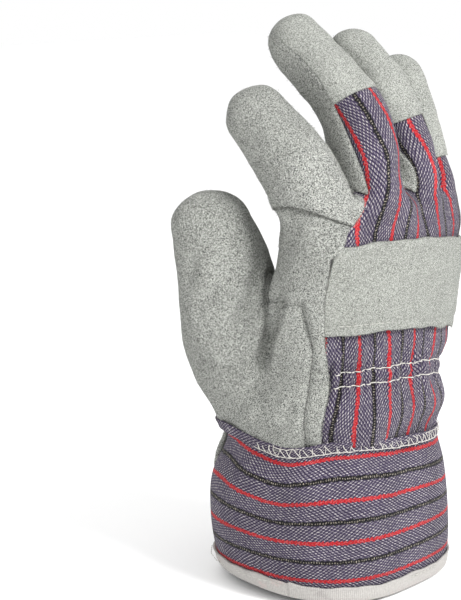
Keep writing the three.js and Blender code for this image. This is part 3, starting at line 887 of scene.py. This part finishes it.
def panel(name, materials, thickness, cloth=None):
    """A panel's outer face, pressed and raised, its inner face and the rim between them."""
    p, n, faces = points[name], normals[name], panels[name]
    outside = p + n * moved[name][:, None]
    inside = outside - n * thickness
    edge = boundary(faces)
    count = len(p)
    rim = np.stack([edge[:, 1], edge[:, 0], edge[:, 0] + count, edge[:, 1] + count], 1)
    indices = [np.zeros(len(faces)), np.full(len(faces), len(materials) - 1), np.zeros(len(rim))]
    all_cloth = None if cloth is None else np.concatenate([cloth, cloth])
    return make(name, np.concatenate([outside, inside]), [faces, faces[:, ::-1] + count, rim],
                materials, name, indices, all_cloth)


def grid_faces(rows, columns, wrap_rows=False, wrap_columns=False):
    r = np.arange(rows if wrap_rows else rows - 1)[:, None]
    c = np.arange(columns if wrap_columns else columns - 1)[None]
    r2, c2 = (r + 1) % rows, (c + 1) % columns
    corners = [r * columns + c, r * columns + c2, r2 * columns + c2, r2 * columns + c]
    return np.stack(corners, -1).reshape(-1, 4)


def outline(angle, z, out=0.0):
    """Points of the body's outline, grown by out, at angles in degrees and heights."""
    angle, z, out = np.broadcast_arrays(np.radians(angle), np.asarray(z, float), out)
    x, y, w, d = (column(BODY, k, z)[0] for k in (1, 2, 3, 4))
    across, back = (signed(turn(angle), 2 / BODY["power"]) for turn in (np.cos, np.sin))
    return np.stack([x + (w + out) * across, y - (d + out) * back, z], -1)


for name in ("palm", "thumb", "two_finger_front"):
    panel(name, [SUEDE], LEATHER)
for name in ("index_front", "index_side"):
    panel(name, [SUEDE_ROUGH], LEATHER)
for name in ("middle_tip", "ring_tip", "little_tip"):
    panel(name, [SUEDE_TIP], LEATHER)
back = panel("back", [STRIPED, STRIPED_INSIDE], FABRIC, cloths["back"])


# The strap across the knuckles.
def strap_edges(angle):
    """The heights of the strap's lower and upper edges, which fall towards the little finger."""
    x = outline(angle, 140.0)[..., 0]
    return 121.1 - 0.0013 * np.maximum(x + 28, 0)**2, 160.9 - 0.0011 * np.maximum(x + 25, 0)**2


columns, rows = int(150 / STEP), int(42 / STEP)
t, place = np.linspace(0, 1, rows)[:, None], np.linspace(0, 1, columns)[None]
angle = ULNAR_SEAM + 1 + place * (along_table(RADIAL_SEAM, 121 + 40 * t) - ULNAR_SEAM - 0.6)
low, high = strap_edges(angle)
ragged = Waves(7)
strap, strap_out = project(outline(angle, low + (high - low) * t).reshape(-1, 3), 0.6)
lump = (0.5 * LUMPS(strap) + 0.2 * PUCKER(strap)).reshape(rows, columns)
strap, strap_out = strap.reshape(rows, columns, 3), strap_out.reshape(rows, columns, 3)
bulge = 0.9 * np.sin(math.pi * t)**0.7 * (0.75 + 0.25 * np.cos(angle * 0.11))
sewn = bell((high - low) * (1 - t), 5.2, 1.4) + bell((high - low) * t, 4.4, 1.4)
tucked = ramp(place, 0.86, 1.0)
out = bulge * (1 - 0.7 * tucked) + 0.6 * lump - 0.4 * sewn + 0.35 - 1.5 * tucked
strap = strap + strap_out * out[..., None]
strap[..., 2] += 0.35 * ragged(strap) * (np.abs(t - 0.5) * 2)**8

verts = np.concatenate([(strap + strap_out * LEATHER).reshape(-1, 3), strap.reshape(-1, 3)])
count, top = rows * columns, grid_faces(rows, columns)
border = np.concatenate([np.arange(columns), np.arange(2, rows) * columns - 1,
                         count - 1 - np.arange(columns), np.arange(rows - 2, 0, -1) * columns])
rim = np.stack([np.roll(border, -1), border, border + count, np.roll(border, -1) + count], 1)
a, b, c = verts[top[0, :3]]
if np.cross(b - a, c - a) @ strap_out[0, 0] < 0:
    top, rim = top[:, ::-1], rim[:, ::-1]
make("knuckle_strap", verts, [top, top[:, ::-1] + count, rim], [SUEDE_FINE],
     "knuckle_strap")

# The cuff.
SLIT = dict(height=38.0, reach=13.0, bend=1.2, round=3.0, flare=5.0, spread=28.0)
CUFF_RADIUS = (53.5 + 46) / 2
CUFF_BROAD, CUFF_FINE = Waves(38, stretch=(1, 1, 1.6)), Waves(11, stretch=(1, 1, 2.5))


def hem_height(away):
    """The height of the cuff's edge, by the distance round from the slit."""
    angle = math.radians(ULNAR_SEAM) + away / CUFF_RADIUS
    lift = 4.0 * (0.5 + 0.5 * np.cos(angle - math.radians(215)))**2
    rounded = np.hypot(away, SLIT["round"]) - SLIT["round"]
    return lift + SLIT["height"] * np.exp(-(rounded / SLIT["reach"])**SLIT["bend"])


def cuff_point(away, z, out):
    """A point of the cuff, by its distance round from the slit, its height and how far out it lies."""
    angle = np.degrees(math.radians(ULNAR_SEAM) + away / CUFF_RADIUS)
    out = out + SLIT["flare"] * bell(away, 0, SLIT["spread"]) * (1 - ramp(z, 0, SLIT["height"]))
    p = outline(angle, z, out)
    return outline(angle, z, out + 1.1 * CUFF_BROAD(p) + 0.5 * CUFF_FINE(p) * ramp(p[..., 2], 30, 58))


def above_hem(away, up, out):
    """A point of the cuff that lies up from its edge, square to it."""
    slope = hem_height(away + 0.5) - hem_height(away - 0.5)
    length = np.hypot(1, slope)
    return cuff_point(away - up * slope / length, hem_height(away) + up / length, out)


half = math.pi * CUFF_RADIUS
columns, rows = int(2 * half / STEP), int(66 / STEP)
u = np.linspace(-1, 1, columns, endpoint=False)
around = half * (1 + np.sign(u) * (1 - (1 - np.abs(u))**1.25))
away = np.where(around < half, around, around - 2 * half)
angle = (ULNAR_SEAM + np.degrees(away / CUFF_RADIUS)) % 360
foot, top = hem_height(away), tape_low(angle) + TAPE_HEIGHT / 2
z = foot + (top - foot) * np.linspace(0, 1, rows)[:, None]
joint = 0.5 * bell(np.abs(away), 4.5, 2.5) - bell(away, 0, 1.6)
joint = joint[None] * ramp(z, SLIT["height"] + 3, SLIT["height"] + 8)
walls = [cuff_point(away[None], z, joint - depth).reshape(-1, 3) for depth in (0, FABRIC)]
sag = (tape_low(angle) - 65) * ramp(z, 18, 64)
cloth = np.stack([z - (62.6 + sag), around[None] + 0 * z, 0 * z], -1).reshape(-1, 3)
count = rows * columns
outer = grid_faces(rows, columns, wrap_columns=True)
ring = np.arange(columns)
low_rim = np.stack([(ring + 1) % columns, ring, ring + count, (ring + 1) % columns + count], 1)
high_rim = low_rim[:, [1, 0, 3, 2]] + (rows - 1) * columns
faces = [outer, outer[:, ::-1] + count, low_rim, high_rim]
corners = np.concatenate([f.ravel() for f in faces])
corner_cloth = cloth[corners % count]
# The faces that close the ring run on to the cloth's end, not back to its start.
last = corner_cloth[:, 1].reshape(-1, 4).max(1) > 1.5 * half
last = last[:, None] & (corners.reshape(-1, 4) % columns == 0)
corner_cloth[last.ravel(), 1] += 2 * half
cuff = make("cuff", np.concatenate(walls), faces, [STRIPED, STRIPED_INSIDE], "cuff",
            [np.zeros(len(outer)), np.ones(len(outer)), np.zeros(2 * columns)], corner_cloth)


# The cuff's binding.
def swept(name, sections, materials, node, cloth=None, closed=True):
    """Rings of equally many points, joined one to the next, with their ends closed if it isn't a loop."""
    count, around = sections.shape[:2]
    faces = [grid_faces(count, around, wrap_rows=closed, wrap_columns=True)]
    if not closed:
        first = np.arange(around)
        for end, turn in ((0, 1), (count - 1, -1)):
            ids = (first + end * around)[::turn]
            faces.append(np.stack([np.full(around - 2, ids[0]), ids[1:-1], ids[2:]], 1))
    return make(name, sections.reshape(-1, 3), faces, materials, node, None,
                None if cloth is None else cloth.reshape(-1, 3))


def rounded_profile():
    """The binding's section: distances out from the cuff's outer face and up from its edge."""
    outside, inside, wall = 0.45, -FABRIC - 0.45, TAPE * 0.9
    middle, reach = (outside + inside) / 2, (outside - inside) / 2 + wall
    return np.array([
        *((outside + wall + 0.15 * math.sin(up * 1.1), up) for up in np.linspace(BINDING, -0.3, 7)),
        *((middle + reach * math.cos(a), -0.3 - 1.5 * math.sin(a))
          for a in np.radians(np.linspace(20, 160, 6))),
        *((inside - wall, up) for up in np.linspace(-0.3, BINDING - 0.6, 7)),
        (inside, BINDING - 0.6), (inside, -0.2), (outside, -0.2), (outside, BINDING)])


profile = rounded_profile()
columns = int(2 * half * 1.2 / STEP)
u = np.linspace(-1, 1, columns, endpoint=False)
away = (half * np.sign(u) * np.abs(u)**1.5)[:, None]
outs, ups = profile[:, 0][None], profile[:, 1][None]
wavy = 0.35 * np.sin(away * 0.21) + 0.2 * np.sin(away * 0.53 + 1)
ups = ups + wavy * (ups > BINDING - 1.2)
sections = above_hem(away, ups, outs)
cloth = np.stack([lengths(sections[:, 0])[:, None] + 0 * ups, lengths(profile)[None] + 0 * ups, 0 * ups], -1)
swept("cuff_binding", sections, [RIBBED], "cuff_binding", cloth)

# The tape over the cuff's joint.
WRIST = 48.0
angles = np.arange(TONGUE_TO - 360 + 2, TONGUE_FROM - 2, STEP * 57.3 / WRIST)
# The tape's section: how far out it lies and how far up.
outs, ups = np.array([(0.1, 0.2), (0.75, 0.0), (1.05, 0.5), (1.1, 1.5), (0.95, 2.6), (1.1, 3.8), (1.05, 5.0),
                      (0.75, TAPE_HEIGHT), (0.1, 5.3), (0.0, 2.7)]).T
a, outs, ups = np.broadcast_arrays(angles[:, None], outs, ups)
flat = outline(a, tape_low(a) + ups).reshape(-1, 3)
on, facing = project(flat, 0.0)
on[:, 2] = flat[:, 2]
ripple = 0.25 * CUFF_FINE(on * 2.2) + 0.35 * CUFF_FINE(on)
from_end = np.minimum(np.arange(len(angles)), np.arange(len(angles))[::-1])[:, None] * STEP
press = np.broadcast_to(0.35 * (1 - ramp(from_end, 0, 9)), a.shape).ravel()
on = on + facing * (outs.ravel() + 0.4 + ripple * 0.7 - press)[:, None]
cloth = np.stack([ups + 1.9, np.radians(a) * WRIST, 0 * ups], -1)
swept("cuff_seam", on.reshape(*a.shape, 3)[:, ::-1], [STRIPED], "cuff_seam",
      cloth[:, ::-1], closed=False)

# Threads.
spun = {kind: [] for kind in THREADS}


def spin(kind, centre, up, radius, sides=6):
    """Adds threads to a kind's mesh. centre and up are (threads, points, 3), radius (threads, points)."""
    if not len(centre):
        return
    along = np.gradient(centre, axis=1)
    across = unit(np.cross(along, up))
    over = unit(np.cross(across, along))
    a = np.arange(sides) * 2 * math.pi / sides
    radius = np.broadcast_to(radius, centre.shape[:2])[..., None, None]
    ring = (np.cos(a)[:, None] * across[..., None, :] + np.sin(a)[:, None] * over[..., None, :]) * radius
    count, points_in = centre.shape[:2]
    one = grid_faces(points_in, sides, wrap_columns=True)[:, ::-1]
    faces = one[None] + (np.arange(count) * points_in * sides)[:, None, None]
    start = sum(len(v) for v, _ in spun[kind])
    spun[kind].append(((centre[..., None, :] + ring).reshape(-1, 3), faces.reshape(-1, 4) + start))


class Skin:
    """A mesh's outer face, to lay threads on."""

    def __init__(self, piece):
        self.tree = BVHTree.FromPolygons([v.co * 1000 for v in piece.data.vertices],
                                         [list(f.vertices) for f in piece.data.polygons])

    def laid(self, p, n, reach=9.0):
        """The points of the skin under p, looking in against n, and its normals there."""
        at, out = p.copy(), n.copy()
        for i, (q, d) in enumerate(zip(p, n)):
            hit, normal, _, _ = self.tree.ray_cast(Vector(q + d * reach), Vector(-d), 2.2 * reach)
            if hit is not None:
                at[i] = hit
                if normal.dot(Vector(d)) > 0.2:
                    out[i] = normal
        return at, out


def eased(line, rounds):
    for _ in range(rounds):
        line = np.concatenate([line[:1], (line[:-2] + 2 * line[1:-1] + line[2:]) / 4, line[-1:]])
    return line


def stitched(kind, line, out, pitch, length, radius, rise, dip, stray):
    """Stitches along a line of a skin's points: a thread every pitch, whose ends dip into the skin."""
    run = lengths(line)
    starts = np.arange(0.3 * pitch, run[-1] - length, pitch)
    if not len(starts):
        return
    starts = starts + rng.normal(0, 0.06 * pitch, len(starts))
    t = np.linspace(0, 1, 6)[None]
    s = starts[:, None] + length * t
    centre, up = sampled(s, run, line), unit(sampled(s, run, out))
    across = unit(np.cross(np.gradient(centre, axis=1), up))
    aside = rng.normal(0, stray, (len(starts), 1))
    centre = centre + up * (rise - dip * np.abs(2 * t - 1)**3)[..., None] + across * aside[..., None]
    spin(kind, centre, up, radius * (1 - 0.35 * np.abs(2 * t - 1)**4))


def fibres(kind, root, way, bend, size, out, radius):
    """Short fibres that leave their roots one way, bend and taper."""
    t = np.linspace(0, 1, 4)[None, :, None]
    centre = root[:, None] + (way[:, None] * t + bend[:, None] * t**2) * size
    spin(kind, centre, np.broadcast_to(out[:, None], centre.shape) + 1e-3, radius * (1 - 0.6 * t[..., 0]), 3)


def fringe(line, out, aside, per_mm, length):
    """Fibres that stand off a raw edge, out over it and aside from it."""
    line, out, aside = even(line, out, aside, step=1.0 / per_mm)
    n = len(line)
    lead = unit(np.gradient(line, axis=0))
    way = aside * rng.uniform(0.3, 1.2, (n, 1)) + out * rng.uniform(0.1, 0.9, (n, 1))
    way = unit(way + lead * rng.normal(0, 0.7, (n, 1)))
    bend = 0.4 * rng.normal(0, 0.5, (n, 3))
    size = length * rng.uniform(0.5, 1.3, (n, 1, 1))
    fibres("fibre", line + rng.normal(0, 0.15, (n, 3)) - way * 0.25, way, bend, size, out, 0.07)


def body_line(angle, z, skin):
    """A line round the body laid on a skin, through angles and heights."""
    p, n = project(outline(angle, z), 0.5)
    p[:, 2] = z
    return skin.laid(p, n)


def seam_runs(name, *others):
    """The runs of a panel's edge that meet other panels: each its points, normals and way inwards."""
    edge = boundary(panels[name])
    follow = dict(edge.tolist())
    ids = np.array(list(follow))
    near = nearest(points[name][ids], np.concatenate([edges_of[n] for n in others]), 3.0) < 0.02
    near = {i for i, ok in zip(ids.tolist(), near) if ok}
    came = {b: a for a, b in follow.items()}
    starts = [i for i in near if came.get(i) not in near] or list(near)[:1]
    runs = []
    for i in starts:
        run = [i]
        while follow.get(run[-1]) in near and len(run) < len(near) and follow[run[-1]] != run[0]:
            run.append(follow[run[-1]])
        if len(run) < 12:
            continue
        p = eased(points[name][run], 4)
        n = normals[name][run]
        at = eased(points[name][run] + n * moved[name][run][:, None], 2)
        runs.append((at, n, unit(np.cross(n, np.gradient(p, axis=0)))))
    return runs


# The back's threads lie on its finished piece, and the others on the part's own nodes.
back_skin = Skin(back)
palm_skin, strap_skin, tape_skin, binding_skin = (
    Skin(bpy.data.objects[name]) for name in ("palm", "knuckle_strap", "cuff_seam", "cuff_binding"))

# Two rows over the elastic, from the little finger's side to the leather at the thumb's side.
angle = np.linspace(ULNAR_SEAM + 1, 140, 160)
for below in (0.0, 6.4):
    z = elastic_row(outline(angle, 104.0)[:, 0]) - below + 0.3 * np.sin(angle * 0.35 + below)
    stitched("thread", *even(*body_line(angle, z, back_skin)), 3.1, 3.0, 0.27, 0.3, 0.42, 0.1)

# The strap's rows, sunk into the leather.
angle = np.linspace(ULNAR_SEAM + 4, 141, 160)
low, high = strap_edges(angle)
for z in (low + 4.2, high - 5.6):
    stitched("thread_pale", *even(*body_line(angle, z, strap_skin)), 2.9, 2.3, 0.2, 0.12, 0.35, 0.06)

# The tape's overlock: a line along each edge, and loops that slant from one to the other.
angle = np.linspace(TONGUE_TO - 360 + 3, TONGUE_FROM - 3, 240)
edges_laid = [body_line(angle, tape_low(angle) + up, tape_skin) for up in (0.7, 4.9)]
for edge, radius in zip(edges_laid, (0.2, 0.16)):
    stitched("thread", *even(*edge), 2.6, 2.7, radius, 0.12, 0.2, 0.12)
(low_line, low_out), (high_line, high_out) = (even(*edge, step=0.5) for edge in edges_laid)
n = min(len(low_line), len(high_line))
for gap, shift, radius in ((7, 5, 0.17), (11, -3, 0.14)):
    i = np.arange(6, n - 8, gap)
    j = np.clip(i + shift + rng.integers(-1, 2, len(i)), 0, n - 1)
    t = np.linspace(0, 1, 7)[None, :, None]
    flat = low_line[i][:, None] * (1 - t) + high_line[j][:, None] * t
    up = low_out[i][:, None] * (1 - t) + high_out[j][:, None] * t
    at, _ = tape_skin.laid(flat.reshape(-1, 3), unit(up).reshape(-1, 3), 3.0)
    at = at.reshape(flat.shape) + up * 0.12 + rng.normal(0, 0.4, (len(i), 1, 3)) * np.sin(math.pi * t)
    spin("thread", at, up, radius)

# The binding's own row, close to its upper edge.
ring_away = np.linspace(-half, half, 520, endpoint=False)
hem = above_hem(ring_away, 4.6, 0.0)
line, out = binding_skin.laid(hem, unit(above_hem(ring_away, 4.6, 3.0) - hem), 4.0)
stitched("thread_pale", *even(line, out), 3.0, 2.2, 0.17, 0.08, 0.3, 0.05)

# Sewn seams of the leather: thread between the edges, its dark grey partly painted shade of the seams'
# grooves.
for name, other in (
        ("middle_tip", "two_finger_front"), ("ring_tip", "two_finger_front"), ("little_tip", "palm"),
        ("index_side", "index_front"), ("thumb", "palm"), ("index_front", "palm")):
    for at, out, _ in seam_runs(name, other):
        stitched("thread_grey", *even(at, out, step=0.6), 2.4, 1.5, 0.2, 0.12, 0.25, 0.1)

# The palm's tongue: two rows across it that rise to the thumb's side, one along its lower edge, the
# needle's holes between their stitches as dark plugs of painted shade, and a bar where the two rows end.
for z_thumb, z_little, start, end in ((80.5, 74.5, 243, 318), (77.3, 71.3, 243, 318), (51.0, 50.0, 246, 317)):
    angle = np.linspace(start, end, 90)
    line, out = even(*body_line(angle, z_thumb + (z_little - z_thumb) * (angle - 243) / 75, palm_skin))
    stitched("thread_pale", line, out, 3.2, 2.4, 0.24, 0.18, 0.4, 0.05)
    ends = np.arange(2.8, (len(line) - 1) * 0.8, 3.2)
    holes = sampled(ends, np.arange(len(line)) * 0.8, line)
    holes_out = out[np.minimum((ends / 0.8).astype(int), len(out) - 1)]
    # Each hole is a short dark plug that paints the shade inside the hole.
    t = np.array([-0.3, -0.1, 0.15])[None, :, None]
    spin("hole", holes[:, None] + holes_out[:, None] * t, np.array([0.3, 0.2, 1.0]),
         np.array([[0.34, 0.36, 0.05]]))
for start in (317.0, 318.2, 319.4):
    bar = body_line(np.linspace(start, start + 0.5, 12), 70.5 + np.linspace(0, 5, 12), palm_skin)
    stitched("thread_pale", *bar, 1.2, 1.1, 0.24, 0.22, 0.2, 0.12)

# Loose nap all over the rougher leather.
for name, count in (("index_front", 1500), ("index_side", 500), ("thumb", 1900), ("palm", 3000),
                    ("two_finger_front", 700)):
    pick = rng.integers(0, len(points[name]), count)
    n = normals[name][pick]
    root = points[name][pick] + n * (moved[name][pick] - 0.1)[:, None] + rng.normal(0, 0.3, (len(pick), 3))
    lay = rng.normal(0, 1, (len(pick), 3))
    lay = unit(lay - (lay * n).sum(1)[:, None] * n)
    way = lay + n * rng.uniform(0.25, 0.75, (len(pick), 1))
    bend = 0.5 * rng.normal(0, 0.5, (len(pick), 3))
    fibres("nap", root, way, bend, rng.uniform(0.5, 1.25, (len(pick), 1, 1)), n, 0.075)

# Raw edges with loose fibres.
for name, others, per_mm, length in (
        ("palm", ("back",), 3.0, 1.1), ("middle_tip", ("back",), 2.5, 0.8), ("ring_tip", ("back",), 2.5, 0.8),
        ("little_tip", ("back",), 2.5, 0.8), ("two_finger_front", ("back",), 2.5, 0.9),
        ("index_front", ("back", "palm"), 2.5, 1.1)):
    for at, out, inward in seam_runs(name, *others):
        fringe(at + out * 0.1, out, -inward, per_mm, length)
for row, way in ((0, -1.0), (-1, 1.0)):
    line = strap[row] + strap_out[row] * LEATHER * 0.8
    fringe(line, strap_out[row], np.tile([0, 0, way], (len(line), 1)), 2.2, 0.7)

for kind, (material, slot) in THREADS.items():
    verts, faces = zip(*spun[kind])
    make("sewing_" + kind, np.concatenate(verts), faces, [material])

# Floor, light and camera.
bpy.ops.mesh.primitive_plane_add(size=6, location=(0, 0, -0.0025))
floor = bpy.context.object
floor.name = "floor"
floor.data.materials.append(Nodes("floor").finish((255, 255, 255), Roughness=0.9))

world = bpy.data.worlds.new("world")
bpy.context.scene.world = world
world.use_nodes = True
color, strength = world.node_tree.nodes["Background"].inputs[:2]
color.default_value, strength.default_value = (1, 1, 1, 1), 1.0

for name, place, size, watts in (("key", (0.0, -1.0, 0.85), 0.45, 17), ("fill", (-0.95, -0.5, 0.5), 0.8, 3)):
    light = bpy.data.lights.new(name, "AREA")
    light.shape, light.size, light.energy = "DISK", size, watts
    holder = bpy.data.objects.new(name, light)
    bpy.context.scene.collection.objects.link(holder)
    holder.location = place
    holder.rotation_euler = (Vector((0, 0, 0.13)) - Vector(place)).to_track_quat("-Z", "Y").to_euler()

azimuth, elevation = math.radians(-46), math.radians(11)
away_from = Vector((math.sin(azimuth) * math.cos(elevation), -math.cos(azimuth) * math.cos(elevation),
                    math.sin(elevation)))
right = Vector((math.cos(azimuth), math.sin(azimuth), 0))
up = away_from.cross(right)
camera = bpy.data.cameras.new("camera")
camera.lens, camera.sensor_width, camera.sensor_height = 120, 36, 36
camera.sensor_fit = "AUTO"
camera.clip_start, camera.clip_end = 0.05, 20
holder = bpy.data.objects.new("camera", camera)
bpy.context.scene.collection.objects.link(holder)
holder.matrix_world = Matrix((right, up, away_from)).transposed().to_4x4()
holder.location = Vector((0, -0.005, 0.127)) - right * 0.046 + away_from * 0.915
bpy.context.scene.camera = holder
bpy.context.scene.view_settings.view_transform = "Standard"
